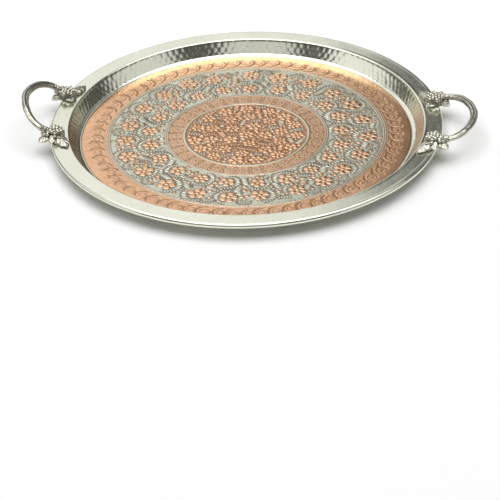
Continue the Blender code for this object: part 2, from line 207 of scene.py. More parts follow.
class Chasing:
    """Height, tin and patina over the floor, drawn motif by motif on a fine square grid.

    Height is in millimetres above the sheet. Tin and dark go from 0 to 1: bare copper has
    no tin, and dark is the patina left in the recesses.
    """

    def __init__(self):
        self.reach = FLOOR_RADIUS + 2.0
        count = int(2 * self.reach / RASTER_PITCH) + 1
        self.axis = np.linspace(-self.reach, self.reach, count)
        x, y = np.meshgrid(self.axis, self.axis)
        self.radius = np.hypot(x, y)
        self.height = np.zeros((count, count))
        self.tin = np.zeros((count, count))
        self.dark = np.zeros((count, count))
        self.used = np.zeros((count, count))

    def window(self, x, y, angle, reach):
        """The part of the grid round a spot, with coordinates along and across a motif there."""
        low = np.searchsorted(self.axis, [x - reach, y - reach])
        high = np.searchsorted(self.axis, [x + reach, y + reach])
        rows, columns = slice(low[1], high[1]), slice(low[0], high[0])
        dx = self.axis[columns][None, :] - x
        dy = self.axis[rows][:, None] - y
        along = dx * math.cos(angle) + dy * math.sin(angle)
        across = dy * math.cos(angle) - dx * math.sin(angle)
        return (rows, columns), along, across

    def lay(self, area, inside, half_width, rise, tin, gloom=0.0):
        """A raised motif: inside is the distance in from its edge, and a dark line runs round it."""
        rim = smooth_step(inside, -OUTLINE - EDGE, -OUTLINE) * (1 - smooth_step(inside, -EDGE / 2, EDGE / 2))
        body = smooth_step(inside, -EDGE / 2, EDGE / 2)
        bulge = np.clip(inside / half_width, 0.0, 1.0)
        dome = rise * np.sqrt(np.clip(1 - (1 - bulge) ** 2, 0.0, 1.0))
        self.dark[area] = np.maximum(self.dark[area], rim) * (1 - body) + gloom * body
        self.height[area] = self.height[area] * (1 - rim) + RECESS * rim
        self.height[area] = self.height[area] * (1 - body) + dome * body
        self.tin[area] = self.tin[area] * (1 - body) + tin * body
        self.used[area] = np.maximum(self.used[area], smooth_step(inside, -OUTLINE, 0.0))

    def petal(self, x, y, angle, length, width, rise, tin, taper=0.28, crease=0.0):
        """An egg whose broad end lies along the angle, with an optional cut down its middle."""
        area, along, across = self.window(x, y, angle, length / 2 + 1.6)
        share = along / (length / 2)
        girth = (width / 2) * (1 + taper * np.clip(share, -1, 1))
        inside = (1 - np.sqrt(share**2 + (across / girth) ** 2)) * width / 2
        self.lay(area, inside, width / 2, rise, tin)
        if crease:
            cut = (1 - smooth_step(np.abs(across), 0.12, 0.40)) * smooth_step(inside, 0.15, 0.55)
            self.height[area] -= crease * cut
            self.dark[area] = np.maximum(self.dark[area], 0.75 * cut)

    def scratch(self, area, distance, half_width, depth, gloom):
        """An engraved line where distance, from its middle, is small."""
        cut = 1 - smooth_step(distance, half_width * 0.5, half_width * 1.5)
        self.height[area] -= depth * cut
        self.dark[area] = np.maximum(self.dark[area], gloom * cut)

    def rosette(self, x, y, angle, petals, reach, heart, tin=0.0, rise=0.34):
        """Round petals about a berry."""
        length = reach - heart * 0.5
        middle = heart * 0.5 + length / 2
        width = min(TAU * middle / petals - 0.55, length * 0.92)
        for number in range(petals):
            turn = angle + TAU * number / petals
            spot_x = x + middle * math.cos(turn)
            spot_y = y + middle * math.sin(turn)
            self.petal(spot_x, spot_y, turn, length, width, rise, tin)
        self.petal(x, y, angle, heart, heart, rise * 1.1, tin, taper=0.0)

    def fan(self, x, y, angle, strokes, spread, inner, outer, tin=1.0, width=1.25):
        """Narrow strokes that open out from a spot, like the leaves of a palmette."""
        for number in range(strokes):
            turn = angle + spread * (number / (strokes - 1) - 0.5)
            bow = 1 - 0.25 * abs(2 * number / (strokes - 1) - 1)
            length = (outer - inner) * bow
            middle = inner + length / 2
            spot_x = x + middle * math.cos(turn)
            spot_y = y + middle * math.sin(turn)
            self.petal(spot_x, spot_y, turn, length, width, 0.24, tin, taper=0.15)

    def halo(self, x, y, middle, spread, inner, outer, width):
        """Pale strokes that stand round part of a rosette."""
        strokes = max(3, int(spread * (inner + outer) / 2 / (width + 0.75)))
        self.fan(x, y, middle, strokes, spread, inner, outer, width=width)

    def room(self, x, y, turn, length, width):
        """Whether an oval spot is still free."""
        area, along, across = self.window(x, y, turn, length / 2 + 0.4)
        core = (along / (length / 2)) ** 2 + (across / (width / 2)) ** 2 < 1.2
        return not np.any(self.used[area][core] > 0.4)

    def sprays(self, random, low, high, tries, most, sizes, width, tin_share):
        """Rows of side-by-side strokes, like the veins of a leaf, wherever there is room."""
        for _ in range(tries):
            radius = math.sqrt(random.uniform(low**2, high**2))
            angle = random.uniform(0, TAU)
            x, y = polar(radius, angle)
            turn = random.uniform(0, TAU)
            length = random.uniform(*sizes)
            bend = random.normal(0, 0.16)
            tin = 1.0 if random.random() < tin_share else 0.0
            spots = []
            for number in range(most):
                across = (number - (most - 1) / 2) * (width + 0.62)
                spot_x = x - across * math.sin(turn)
                spot_y = y + across * math.cos(turn)
                spots.append((spot_x, spot_y, turn + bend * (number - (most - 1) / 2)))
            free = [spot for spot in spots if low < math.hypot(spot[0], spot[1]) < high - 1.5]
            free = [spot for spot in free if self.room(*spot, length * 0.9, width)]
            if len(free) < most - 1:
                continue
            for spot in free:
                self.petal(*spot, length * random.uniform(0.9, 1.08), width, 0.26, tin, taper=0.12)

    def fill(self, random, low, high, tries, sizes, tin_share, plump):
        """Single leaves and berries wherever there is room between two radii."""
        for _ in range(tries):
            radius = math.sqrt(random.uniform(low**2, high**2))
            x, y = polar(radius, random.uniform(0, TAU))
            length = random.uniform(*sizes)
            width = length * plump
            turn = random.uniform(0, TAU)
            if radius + length / 2 > high or radius - length / 2 < low:
                continue
            if not self.room(x, y, turn, length, width):
                continue
            tin = 1.0 if random.random() < tin_share else 0.0
            self.petal(x, y, turn, length, width, 0.30, tin, taper=0.15)

    def soften(self):
        """Takes the stair-steps out of the three layers."""
        for layer in (self.height, self.tin, self.dark):
            for axis in (0, 1):
                layer[:] = 0.5 * layer + 0.25 * (np.roll(layer, 1, axis) + np.roll(layer, -1, axis))

    def sample(self, x, y):
        """Height, tin and dark at points, read between the grid's own points."""
        column = (np.asarray(x) + self.reach) / (self.axis[1] - self.axis[0])
        row = (np.asarray(y) + self.reach) / (self.axis[1] - self.axis[0])
        column = np.clip(column, 0, len(self.axis) - 1.001)
        row = np.clip(row, 0, len(self.axis) - 1.001)
        left, low = column.astype(int), row.astype(int)
        share_x, share_y = column - left, row - low
        results = []
        for layer in (self.height, self.tin, self.dark):
            bottom = layer[low, left] * (1 - share_x) + layer[low, left + 1] * share_x
            top = layer[low + 1, left] * (1 - share_x) + layer[low + 1, left + 1] * share_x
            results.append(bottom * (1 - share_y) + top * share_y)
        return results


def draw_medallion(chasing, random):
    """A dense field of rosettes in rings about a central one, with sprays and berries in the gaps."""
    ground = chasing.radius < MEDALLION_RADIUS
    chasing.dark[ground] = 0.46
    chasing.height[ground] = 0.6 * RECESS
    chasing.rosette(0, 0, 0.3, 7, 7.6, 3.4)
    for row, (radius, count) in enumerate(((17.5, 5), (33.0, 10), (47.6, 15))):
        for number in range(count):
            angle = TAU * (number + 0.5 * row) / count + random.normal(0, 0.05)
            x, y = polar(radius + random.normal(0, 0.8), angle)
            turn = random.uniform(0, TAU)
            chasing.rosette(x, y, turn, 5 + (number + row) % 3, 6.9 + random.normal(0, 0.3), 2.9)
    top = MEDALLION_RADIUS - 0.4
    chasing.sprays(random, 0, top, 2600, 5, (4.6, 6.2), 1.75, 0.34)
    chasing.sprays(random, 0, top, 2600, 3, (3.8, 5.0), 1.65, 0.34)
    chasing.fill(random, 0, top, 2500, (3.0, 4.0), 0.30, 0.82)
    chasing.fill(random, 0, top, 4500, (2.8, 4.2), 0.10, 0.48)
    chasing.fill(random, 0, top, 4500, (1.9, 2.6), 0.10, 0.80)


def draw_floral_band(chasing, random):
    """Two rows of copper rosettes on tin, each with a halo of pale strokes, and palmettes between them."""
    low, high = FLORAL_BAND
    ground = (chasing.radius > low) & (chasing.radius < high)
    chasing.tin[ground] = 1.0
    chasing.height[ground] = -0.08
    chasing.dark[ground] = 0.06
    for count, radius, reach, shift in ((23, 110.8, 8.8, 0.0), (21, 88.2, 7.6, 0.4)):
        for number in range(count):
            angle = TAU * (number + shift) / count + random.normal(0, 0.016)
            x, y = polar(radius + random.normal(0, 1.0), angle)
            petals = 6 if random.random() < 0.6 else 5
            halo = random.uniform(0, TAU)
            spread = random.uniform(1.6, 3.2)
            chasing.halo(x, y, halo, spread, reach + 0.2, reach + random.uniform(4.4, 6.4), 1.6)
            chasing.rosette(x, y, random.uniform(0, TAU), petals, reach + random.normal(0, 0.4), 3.6)
            for side in (-1, 1):
                bud_x = x + (reach + 2.6) * math.cos(halo + math.pi + side * 0.35)
                bud_y = y + (reach + 2.6) * math.sin(halo + math.pi + side * 0.35)
                chasing.petal(bud_x, bud_y, halo + math.pi + side * 0.9, 4.8, 2.9, 0.32, 0.0, crease=0.10)
    for number in range(23):
        if number % 3 == 0:
            continue
        angle = TAU * (number + 0.5) / 23
        x, y = polar(115.4, angle)
        chasing.fan(x, y, angle, 7, 2.3, 1.4, 8.4)
        chasing.petal(x, y, angle, 3.2, 3.0, 0.30, 0.0, taper=0.0)
    chasing.sprays(random, low + 3.5, high - 5.0, 3600, 5, (4.8, 6.4), 1.7, 0.86)
    chasing.fill(random, low + 2.5, high - 4.0, 2500, (3.4, 4.6), 0.10, 0.78)
    chasing.sprays(random, low + 2.5, high - 4.0, 2600, 3, (4.0, 5.4), 1.6, 0.80)
    chasing.fill(random, low + 2.0, high - 3.5, 1600, (2.2, 3.2), 0.30, 0.80)


def draw_inner_band(chasing, random):
    """A chain of ovals on a copper band, each with a berry, and leaves crossed between them."""
    count = 33
    for number in range(count):
        angle = TAU * number / count + random.normal(0, 0.008)
        x, y = polar(65.7, angle)
        area, along, across = chasing.window(x, y, angle, 6.5)
        oval = np.hypot(along / 1.0, across / 1.2)
        chasing.scratch(area, np.abs(oval - 3.6), 0.45, 0.16, 0.50)
        wash = 1 - smooth_step(oval, 2.4, 3.3)
        chasing.tin[area] = np.maximum(chasing.tin[area], 0.45 * wash)
        chasing.petal(x, y, angle, 2.8, 2.5, 0.18, 0.0, taper=0.0)
        x, y = polar(65.7, angle + TAU / count / 2)
        for side in (-1, 1):
            spot_x, spot_y = polar(65.7 + side * 3.1, angle + TAU / count / 2)
            chasing.petal(spot_x, spot_y, angle + 0.25, 3.6, 2.2, 0.16, 0.25, taper=0.2 * side)
        area, along, across = chasing.window(x, y, angle, 6.0)
        wave = np.abs(across - 0.9 * np.sin(along * 0.9)) + 4.0 * (np.abs(along) > 4.8)
        chasing.scratch(area, wave, 0.35, 0.12, 0.45)
    for radius in (60.3, 71.0):
        chasing.scratch(WHOLE_GRID, np.abs(chasing.radius - radius), 0.28, 0.10, 0.40)


def draw_outer_band(chasing, random):
    """A running scroll of uneven arches open to the wall, each with a smaller one inside it and a nick."""
    count = 68
    for number in range(count):
        angle = TAU * number / count + random.normal(0, 0.006)
        size = random.uniform(0.90, 1.12)
        x, y = polar(139.0 + random.normal(0, 0.5), angle)
        area, along, across = chasing.window(x, y, angle + random.normal(0, 0.12), 9.0)
        sweep = np.arctan2(across, along)
        reach = np.hypot(along, across * 0.86) * (1 + 0.10 * sweep) / size
        ends = 4.0 * (1 - smooth_step(np.abs(sweep), 0.45, 0.8))
        chasing.scratch(area, np.abs(reach - 5.2) + ends, 0.60, 0.24, 0.80)
        chasing.scratch(area, np.abs(reach - 2.7) + ends, 0.42, 0.16, 0.62)
        leaf = np.hypot((along - 1.2) / 2.0, across / 0.8)
        chasing.scratch(area, leaf, 0.60, 0.16, 0.70)
        nick = np.hypot((along + 3.0) / 1.6, (across - 6.1) / 0.6)
        chasing.scratch(area, nick, 0.85, 0.24, 0.95)
    chasing.scratch(WHOLE_GRID, np.abs(chasing.radius - 131.2), 0.30, 0.10, 0.45)


def draw_rings(chasing):
    """Pale turned rings with a dark line on either side."""
    for low, high in PALE_RINGS:
        inside = np.minimum(chasing.radius - low, high - chasing.radius)
        body = smooth_step(inside, -0.1, 0.2)
        line = smooth_step(inside, -0.75, -0.45) * (1 - smooth_step(inside, -0.15, 0.1))
        chasing.dark = np.maximum(chasing.dark * (1 - body), 0.7 * line)
        chasing.tin = chasing.tin * (1 - body) + 0.92 * body
        chasing.height = chasing.height * (1 - np.maximum(body, line)) + 0.20 * body - 0.2 * line


def draw_floor():
    chasing = Chasing()
    random = np.random.default_rng(7)
    draw_medallion(chasing, random)
    draw_floral_band(chasing, random)
    draw_inner_band(chasing, random)
    draw_outer_band(chasing, random)
    draw_rings(chasing)
    lip = smooth_step(chasing.radius, FLOOR_RADIUS - 0.9, FLOOR_RADIUS - 0.2)
    chasing.height = chasing.height * (1 - lip) - 0.16 * lip
    chasing.dark = np.maximum(chasing.dark, 0.55 * lip)
    chasing.soften()
    return chasing


# --- pan


FLOOR_STEP = 0.62
FLOOR_SPOKES = 1152
COARSE_STEP = 6.0


def spokes_at(radius):
    """How many points a ring of the floor has: half as many each time the radius halves."""
    count = FLOOR_SPOKES
    limit = FLOOR_RADIUS / 2
    while radius < limit and count > 9:
        count //= 2
        limit /= 2
    return count


def planished(x, y):
    """The sheet's slight waviness, in millimetres."""
    return 0.035 * np.sin(x / 17.0 + 0.6) * np.cos(y / 21.0) + 0.02 * np.sin((x + y) / 9.0)


def make_floor():
    """The floor of the pan: chased on top, plain below."""
    chasing = draw_floor()
    rings = Rings()
    rings.add([0.0], [0.0], [SHEET], 0.0, 0.4, 0.0)
    rows = int(FLOOR_RADIUS / FLOOR_STEP)
    for row in range(1, rows + 1):
        radius = FLOOR_RADIUS * row / rows
        angles = np.arange(spokes_at(radius)) * TAU / spokes_at(radius)
        x, y = radius * np.cos(angles), radius * np.sin(angles)
        height, tin, dark = chasing.sample(x, y)
        rings.add(x, y, SHEET + height, tin, dark, 0.0)
    x, y = rings.points[-1][:, 0], rings.points[-1][:, 1]
    rings.add(x, y, np.full(len(x), SHEET / 2), 1.0, 0.3, 1.0)
    rings.add(x, y, np.zeros(len(x)), 1.0, 0.2, 1.0)
    radius = FLOOR_RADIUS - 1.0
    while radius > 1.0:
        count = spokes_at(radius)
        angles = np.arange(count) * TAU / count
        x, y = radius * np.cos(angles), radius * np.sin(angles)
        rings.add(x, y, np.abs(planished(x, y)), 1.0, 0.12, 1.0)
        shrunk = radius - COARSE_STEP
        if spokes_at(shrunk) < count // 2:
            shrunk = radius * 0.75
        radius = shrunk
    rings.add([0.0], [0.0], [0.0], 1.0, 0.12, 1.0)
    mesh = rings.mesh("chased_floor", ("tin", "dark", "under"))
    mesh.transform(Matrix.Translation((PAN_X * MM, 0, 0)))
    return show("chased_floor", mesh)


RIM_SPOKES = 1024
DENTS = 154
DENT_ROWS = (1.6, 6.4, 11.4)
DENT_REACH = 4.4
DENT_DEPTH = 0.34


def dent_depth(travel, angles, radius):
    """Overlapping round hammer blows, whose edges meet in low ridges. Travel is the way up the wall."""
    nearest = np.full(len(angles), DENT_REACH**2)
    pitch = TAU / DENTS
    for row, middle in enumerate(DENT_ROWS):
        place = angles / pitch - 0.5 * (row % 2)
        for shift in (-1, 0, 1):
            number = np.round(place) + shift
            wobble = np.sin(number * 12.9898 + row * 4.1) * 43758.5453
            wobble = wobble - np.floor(wobble)
            aside = (place - number - 0.22 * (wobble - 0.5)) * pitch * radius
            along = travel - middle - 1.2 * (np.mod(wobble * 7.31, 1.0) - 0.5)
            nearest = np.minimum(nearest, aside**2 + 0.55 * along**2)
    return DENT_DEPTH * (1 - nearest / DENT_REACH**2)


def sheet_path():
    """The middle of the sheet from the floor's edge to the curl's end: radius, height, heading, travel."""
    path = [(FLOOR_RADIUS, SHEET / 2, 0.0)]
    marks = [0.0]

    def run(length, steps):
        radius, height, heading = path[-1]
        for step in range(1, steps + 1):
            share = length * step / steps
            path.append((radius + share * math.cos(heading), height + share * math.sin(heading), heading))
            marks.append(marks[-1] + length / steps)

    def turn(bend_radius, angle, steps):
        radius, height, heading = path[-1]
        side = math.copysign(bend_radius, angle)
        centre = (radius - side * math.sin(heading), height + side * math.cos(heading))
        for step in range(1, steps + 1):
            now = heading + angle * step / steps
            path.append((centre[0] + side * math.sin(now), centre[1] - side * math.cos(now), now))
            marks.append(marks[-1] + abs(side * angle) / steps)

    turn(FOOT_BEND_RADIUS, WALL_ANGLE, 9)
    run(WALL_LENGTH, 18)
    turn(TOP_BEND_RADIUS, -WALL_ANGLE, 6)
    run(FLANGE_OUTER_RADIUS - FLANGE_INNER_RADIUS, 12)
    turn(CURL_RADIUS, -CURL_TURN, 18)
    return path, marks


def make_rim():
    """The hammered wall, the smooth flange and the rolled edge, with their undersides."""
    path, marks = sheet_path()
    angles = np.arange(RIM_SPOKES) * TAU / RIM_SPOKES
    wall_start = FOOT_BEND_RADIUS * WALL_ANGLE * 0.55
    wall_end = FOOT_BEND_RADIUS * WALL_ANGLE + WALL_LENGTH
    flange_end = wall_end + TOP_BEND_RADIUS * WALL_ANGLE + FLANGE_OUTER_RADIUS - FLANGE_INNER_RADIUS
    rings = Rings()
    sides = [(index, 0.5) for index in range(len(path))]
    sides += [(index, -0.5) for index in reversed(range(len(path)))]
    for index, side in sides:
        radius, height, heading = path[index]
        travel = marks[index]
        worked = smooth_step(travel, wall_start, wall_start + 1.2)
        worked = worked * (1 - smooth_step(travel, wall_end - 0.6, wall_end + 0.5))
        dent = worked * dent_depth(travel - wall_start, angles, radius)
        flat = smooth_step(travel, wall_end + 1.0, wall_end + 4.0)
        flat = flat * (1 - smooth_step(travel, flange_end - 2.0, flange_end + 1.0))
        sway = 0.05 * np.sin(5 * angles + 0.7) + 0.03 * np.sin(11 * angles) + 0.02 * np.sin(23 * angles + 1.0)
        shift = side * SHEET - dent * (1.0 if side > 0 else 0.8) + flat * (sway - 0.1)
        r = radius - shift * math.sin(heading)
        z = height + shift * math.cos(heading)
        ridge = worked * (1 - dent / DENT_DEPTH)
        under = 0.0 if side > 0 and travel < flange_end + 3.0 else 1.0
        rings.add(r * np.cos(angles), r * np.sin(angles), np.maximum(z, 0.0), ridge, under)
    rings.close()
    mesh = rings.mesh("hammered_rim", ("ridge", "under"))
    mesh.transform(Matrix.Translation((PAN_X * MM, 0, 0)))
    return show("hammered_rim", mesh)


# --- handles


def bow_point(angle):
    """A rounded D in the bow's own plane, whose X runs out from the line between the mounts."""
    power = 2 / BOW_SQUARENESS
    x = BOW_START + (BOW_REACH - BOW_START) * math.cos(angle) ** power
    y = math.copysign(MOUNT_Y * abs(math.sin(angle)) ** power, angle)
    return Vector((x, y, 0))


def bow_plane(tilt):
    """In millimetres, from a bow's own plane to the right-hand side of the pan, bent up by the tilt."""
    return Matrix.Translation((MOUNT_X, 0, HINGE_HEIGHT)) @ Matrix.Rotation(-tilt, 4, "Y")


def handle_place(turn):
    """In metres, from the right-hand side of a centred pan to a handle's own side and offset."""
    return Matrix.Translation((PAN_X * MM, HANDLE_OFFSET * MM, 0)) @ Matrix.Rotation(turn, 4, "Z")


def even_points(curve, low, high, count):
    """Points at equal distances along a curve, from fine samples of it."""
    dense = np.array([curve(angle) for angle in np.linspace(low, high, CURVE_SAMPLES + 1)])
    steps = np.linalg.norm(np.diff(dense, axis=0), axis=1)
    travelled = np.concatenate([[0.0], np.cumsum(steps)])
    goals = np.linspace(0.0, travelled[-1], count)
    return [Vector(point) for point in zip(*(np.interp(goals, travelled, column) for column in dense.T))]


CURVE_SAMPLES = 900
BOW_STATIONS = 220
BOW_SIDES = 44
BOW_KNOTS = ((0.17, 0.6), (0.36, 2.4), (0.55, 4.9), (0.74, 1.5), (0.87, 3.6))


def vine_skin(share, phi):
    """The rod's radius as a share of its oval: a channel between two ridges, bark and knots."""
    channel = -0.22 * np.exp(-(((phi - math.pi / 2 - 0.18 * math.sin(share * 9)) / 0.26) ** 2))
    groove = -0.08 * np.exp(-(((phi - 0.55 - 0.2 * math.sin(share * 7 + 1)) / 0.13) ** 2))
    groove = groove - 0.08 * np.exp(-(((phi - 2.65 + 0.2 * math.sin(share * 8)) / 0.13) ** 2))
    bark = 0.010 * np.sin(7 * phi + 30 * share) + 0.008 * np.sin(11 * phi - 47 * share + 1.3)
    skin = 0.95 + channel + groove + bark
    for place, side in BOW_KNOTS:
        offset = (share - place) / 0.020
        skin = skin + 0.05 * math.exp(-(offset**2)) * (1 - channel)
        skin = skin - 0.04 * math.exp(-((offset - 2.2) ** 2))
        away = np.abs(np.angle(np.exp(1j * (phi - side))))
        skin = skin + 0.08 * np.exp(-((offset / 1.2) ** 2) - (away / 0.45) ** 2)
    return np.minimum(skin, 0.99)


def make_bow(name, tilt, turn):
    """A vine rod, flattened, with a pin at either end."""
    quarter = math.pi / 2
    centres = even_points(bow_point, -quarter, quarter, BOW_STATIONS)
    outward = Vector((1, 0, 0))
    phi = np.arange(BOW_SIDES) * TAU / BOW_SIDES
    rings = Rings()

    def ring(centre, tangent, half_width, half_thickness):
        across = Vector((tangent.y, -tangent.x, 0)).normalized()
        side = half_width * np.cos(phi)
        rings.add(centre.x + across.x * side, centre.y + across.y * side, half_thickness * np.sin(phi), 0.0)

    def pin(end, tangent, backs):
        for back in backs:
            ring(end - back * outward, tangent, PIN_RADIUS, PIN_RADIUS)

    def cap(end):
        rings.add([end.x - PIN_LENGTH], [end.y], [0.0], 0.0)

    cap(centres[0])
    pin(centres[0], outward, (PIN_LENGTH, PIN_NECK, 0.0))
    for station, centre in enumerate(centres):
        before = centres[max(station - 1, 0)]
        after = centres[min(station + 1, BOW_STATIONS - 1)]
        tangent = after - before
        if station == 0:
            tangent = outward
        if station == BOW_STATIONS - 1:
            tangent = -outward
        skin = vine_skin(station / (BOW_STATIONS - 1), phi)
        ring(centre, tangent, BOW_HALF_WIDTH * skin, BOW_HALF_THICKNESS * skin)
    pin(centres[-1], -outward, (0.0, PIN_NECK, PIN_LENGTH))
    cap(centres[-1])
    mesh = rings.mesh(name, ())
    plane = bow_plane(tilt)
    plane.translation *= MM
    mesh.transform(handle_place(turn) @ plane)
    turn_outward(mesh)
    add_hollows(mesh, 6)
    return show(name, mesh)


def turn_outward(mesh):
    shape = bmesh.new()
    shape.from_mesh(mesh)
    bmesh.ops.recalc_face_normals(shape, faces=shape.faces)
    shape.to_mesh(mesh)
    shape.free()


def add_hollows(mesh, rounds):
    """How deep each point lies below its surroundings, for the patina. Convex points are negative."""
    count = len(mesh.vertices)
    points = np.empty(count * 3)
    mesh.vertices.foreach_get("co", points)
    points = points.reshape(-1, 3)
    normals = np.empty(count * 3)
    mesh.vertices.foreach_get("normal", normals)
    normals = normals.reshape(-1, 3)
    pairs = np.empty(len(mesh.edges) * 2, dtype=np.int64)
    mesh.edges.foreach_get("vertices", pairs)
    one, two = pairs[0::2], pairs[1::2]
    degree = np.bincount(pairs, minlength=count)[:, None]
    spread = points.copy()
    for _ in range(rounds):
        total = np.zeros_like(spread)
        np.add.at(total, one, spread[two])
        np.add.at(total, two, spread[one])
        spread = 0.5 * spread + 0.5 * total / degree
    depth = ((spread - points) * normals).sum(1)
    add_value(mesh, "hollow", depth / MM)


LEAF_LONG = 34
LEAF_WIDE = 21


def leaf_points(stem, tip, half_width, lift, droop, lobes, curl):
    """The upper face of a vine leaf: rows from stem to tip, with lobes, a midrib and side veins."""
    stem, tip = np.array(stem), np.array(tip)
    along = tip - stem
    length = np.hypot(*along)
    ahead = along / length
    aside = np.array([-ahead[1], ahead[0]])
    u = np.linspace(0.0, 1.0, LEAF_LONG)[:, None]
    v = np.linspace(-1.0, 1.0, LEAF_WIDE)[None, :]
    outline = np.sin(np.pi * (0.14 + 0.86 * u) ** 1.15) ** 0.75
    notch = 1 + 0.22 * np.abs(np.sin(lobes * np.pi * (u + 0.04))) - 0.12
    width = half_width * np.clip(outline * notch, 0.03, None)
    bend = curl * np.sin(np.pi * u)
    x = stem[0] + ahead[0] * length * u + aside[0] * (width * v + bend)
    y = stem[1] + ahead[1] * length * u + aside[1] * (width * v + bend)
    arch = lift * (1 - u) ** 1.3 + droop * np.sin(np.pi * u)
    rib = 0.34 * np.exp(-((v / 0.10) ** 2)) * (1 - 0.5 * u)
    veins = 0.20 * np.cos(2 * np.pi * (lobes * 1.5 * (u + 0.10) - 1.1 * np.abs(v))) * np.abs(v) ** 0.5
    cup = 0.55 * (np.abs(v) ** 1.6) * (0.6 + 0.4 * np.cos(2 * np.pi * lobes * u))
    z = 1.0 + arch * (1 - 0.72 * np.abs(v) ** 2.2) + rib + veins + 0.6 * cup
    return x, y, z


def add_leaf(shape, base, **leaf):
    """A leaf with its upper face as above and a flat foot, closed all round."""
    x, y, z = leaf_points(**leaf)

    def sheet(height):
        rows = np.stack([x, y, base + height], axis=-1)
        return [[shape.verts.new(point) for point in row] for row in rows]

    top = sheet(z)
    low = sheet(np.zeros_like(z))
    for i in range(LEAF_LONG - 1):
        for j in range(LEAF_WIDE - 1):
            shape.faces.new((top[i][j], top[i + 1][j], top[i + 1][j + 1], top[i][j + 1]))
            shape.faces.new((low[i][j], low[i][j + 1], low[i + 1][j + 1], low[i + 1][j]))
    border = [(i, 0) for i in range(LEAF_LONG)]
    border += [(LEAF_LONG - 1, j) for j in range(1, LEAF_WIDE)]
    border += [(i, LEAF_WIDE - 1) for i in range(LEAF_LONG - 2, -1, -1)]
    border += [(0, j) for j in range(LEAF_WIDE - 2, 0, -1)]
    for (i, j), (k, m) in zip(border, border[1:] + border[:1]):
        shape.faces.new((top[i][j], low[i][j], low[k][m], top[k][m]))


def add_tube(shape, centres, radii, sides=12):
    """A round bar through points, with closed ends."""
    rows = []
    for number, centre in enumerate(centres):
        ahead = (centres[min(number + 1, len(centres) - 1)] - centres[max(number - 1, 0)]).normalized()
        right = ahead.cross(Vector((0, 0, 1))).normalized()
        up = right.cross(ahead)
        ring = []
        for side in range(sides):
            angle = TAU * side / sides
            offset = math.cos(angle) * right + math.sin(angle) * up
            ring.append(shape.verts.new(centre + radii[number] * offset))
        rows.append(ring)
    for before, after in zip(rows, rows[1:]):
        for side in range(sides):
            following = (side + 1) % sides
            shape.faces.new((before[side], before[following], after[following], after[side]))
    shape.faces.new(rows[0][::-1])
    shape.faces.new(rows[-1])


GRAPE_ROWS = (3, 4, 5, 4, 3)
GRAPE_PITCH = 3.5


def add_ball(shape, centre, radius):
    matrix = Matrix.Translation(centre)
    bmesh.ops.create_uvsphere(shape, u_segments=20, v_segments=12, radius=radius, matrix=matrix)


def add_grapes(shape):
    """A bunch that tapers away from the vine and swells in the middle."""
    number = 0
    for row, count in enumerate(GRAPE_ROWS):
        for place in range(count):
            across = (place - (count - 1) / 2) * GRAPE_PITCH
            along = (row - 2) * 0.86 * GRAPE_PITCH
            crown = 3.2 * math.cos(along / 8.4) * math.cos(across / 8.0)
            radius = 1.86 + 0.16 * math.sin(number * 2.4)
            x = -1.5 - 0.90 * across - 0.30 * along + 0.55 * math.sin(number * 5.1)
            y = -1.6 - 0.92 * along + 0.25 * across + 0.55 * math.cos(number * 3.7)
            add_ball(shape, (x, y, 4.3 + crown + 0.35 * math.sin(number * 7.9)), radius)
            number += 1


def add_cone(shape, matrix, foot, head, depth):
    """A round bar or cone along its own Z, closed at both ends."""
    sizes = {"radius1": foot, "radius2": head, "depth": depth}
    bmesh.ops.create_cone(shape, cap_ends=True, segments=40, matrix=matrix, **sizes)


CORE_TAPER = 0.75


def add_core(shape):
    """The body of the casting under the leaves and grapes, down to its flat foot."""
    posts = (
        (-1.5, -1.8, 8.6, 5.4),
        (SCREW_X - MOUNT_X, SCREW_Y - MOUNT_Y, 4.1, 6.1),
        (2.5, 0.0, 3.6, 4.4),
    )
    for x, y, radius, top in posts:
        add_cone(shape, Matrix.Translation((x, y, (GAP + top) / 2)), radius, radius * CORE_TAPER, top - GAP)


def add_collar(shape, tilt):
    """The swollen end of the vine, with a ringed lip round the bow's socket, and a twist of tendril."""
    place = Matrix.Translation((0, 0, HINGE_HEIGHT - FLANGE_TOP)) @ Matrix.Rotation(-tilt, 4, "Y")
    steps = 20
    length = 11.0
    collar = []
    swell = []
    for step in range(steps + 1):
        share = step / steps
        collar.append(place @ Vector((BOW_START - GAP - length * (1 - share), 0, 0)))
        lip = math.exp(-(((share - 0.93) / 0.05) ** 2)) + 0.7 * math.exp(-(((share - 0.72) / 0.05) ** 2))
        swell.append(2.75 + 0.55 * lip + 0.12 * math.sin(share * 40))
    add_tube(shape, collar, swell, sides=28)
    coil = []
    for step in range(60):
        turn = step * 0.30
        coil.append(place @ Vector((1.0 + step * 0.115, 3.05 * math.cos(turn), 3.05 * math.sin(turn))))
    add_tube(shape, coil, [0.50] * len(coil), sides=8)


def add_curl(shape, centre, reach, turns, thick, start):
    """A flat spiral tendril."""
    steps = 30
    path = []
    for step in range(steps):
        share = step / (steps - 1)
        turn = start + share * turns * TAU
        out = reach * (1 - 0.8 * share)
        path.append(Vector(centre) + Vector((out * math.cos(turn), out * math.sin(turn), 0.6 * share)))
    add_tube(shape, path, [thick * (1 - 0.35 * step / steps) for step in range(steps)], sides=10)


LEAVES = (
    dict(stem=(0.5, 0.5), tip=(-16.5, 19.0), half_width=5.8, lift=3.6, droop=1.2, lobes=3, curl=1.6),
    dict(stem=(-1.0, -1.0), tip=(11.2, 11.4), half_width=5.0, lift=2.6, droop=1.8, lobes=3, curl=-1.0),
    dict(stem=(0.5, 1.0), tip=(11.4, -9.6), half_width=4.6, lift=3.0, droop=1.2, lobes=2, curl=0.8),
    dict(stem=(1.0, 0.0), tip=(-9.0, -11.6), half_width=4.8, lift=2.6, droop=1.0, lobes=2, curl=-0.8),
    dict(stem=(1.0, 2.0), tip=(-1.5, 13.4), half_width=4.2, lift=3.8, droop=2.0, lobes=2, curl=0.8),
)


